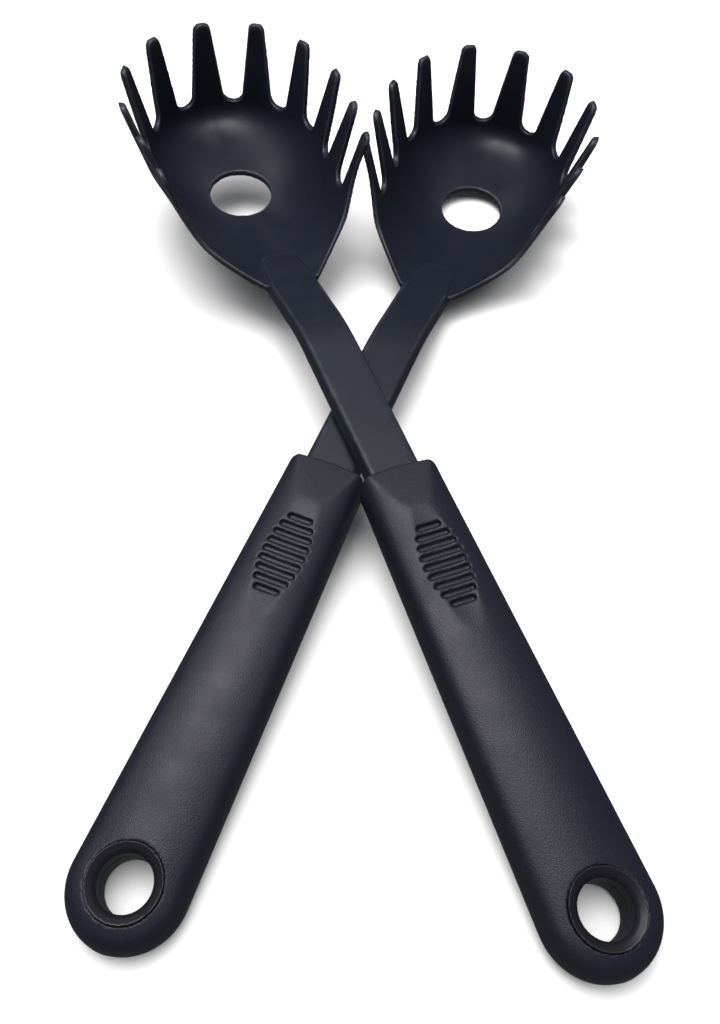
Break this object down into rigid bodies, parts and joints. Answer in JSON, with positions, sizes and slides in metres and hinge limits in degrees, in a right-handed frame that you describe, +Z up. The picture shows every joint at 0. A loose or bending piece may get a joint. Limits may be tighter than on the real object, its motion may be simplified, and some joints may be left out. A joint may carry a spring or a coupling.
{
  "type": "pair of spaghetti servers",
  "caption": "Matching dark nylon pasta servers lying crossed with bowls up, each a fingered bowl with a drain hole on a bent shank and a grooved handle with a hang hole.",
  "frame": {"origin": "on the table the pair lies on, under the middle of the pair's bounding box", "axes": "+Z up from the table, +Y from the handles towards the two heads, +X to the right seen from the handle end"},
  "size_m": [0.1726, 0.3204, 0.0631],
  "materials": {
    "satin_nylon": "fine satin, slightly polished where it is worn",
    "matte_grip_plastic": "fine speckled matte",
    "satin_ring_plastic": "satin"
  },
  "bodies": {
    "lower_server": {"lower_head_and_shank": "satin_nylon", "lower_handle": "matte_grip_plastic", "lower_eyelet_front": "satin_ring_plastic", "lower_eyelet_rear": "satin_ring_plastic"},
    "upper_server": {"upper_head_and_shank": "satin_nylon", "upper_handle": "matte_grip_plastic", "upper_eyelet_front": "satin_ring_plastic", "upper_eyelet_rear": "satin_ring_plastic"}
  },
  "joints": [
    {"name": "upper_lift", "type": "slide", "parent": "lower_server", "child": "upper_server", "axis": [0, 0, 1], "range_m": [0, 0.1]}
  ]
}
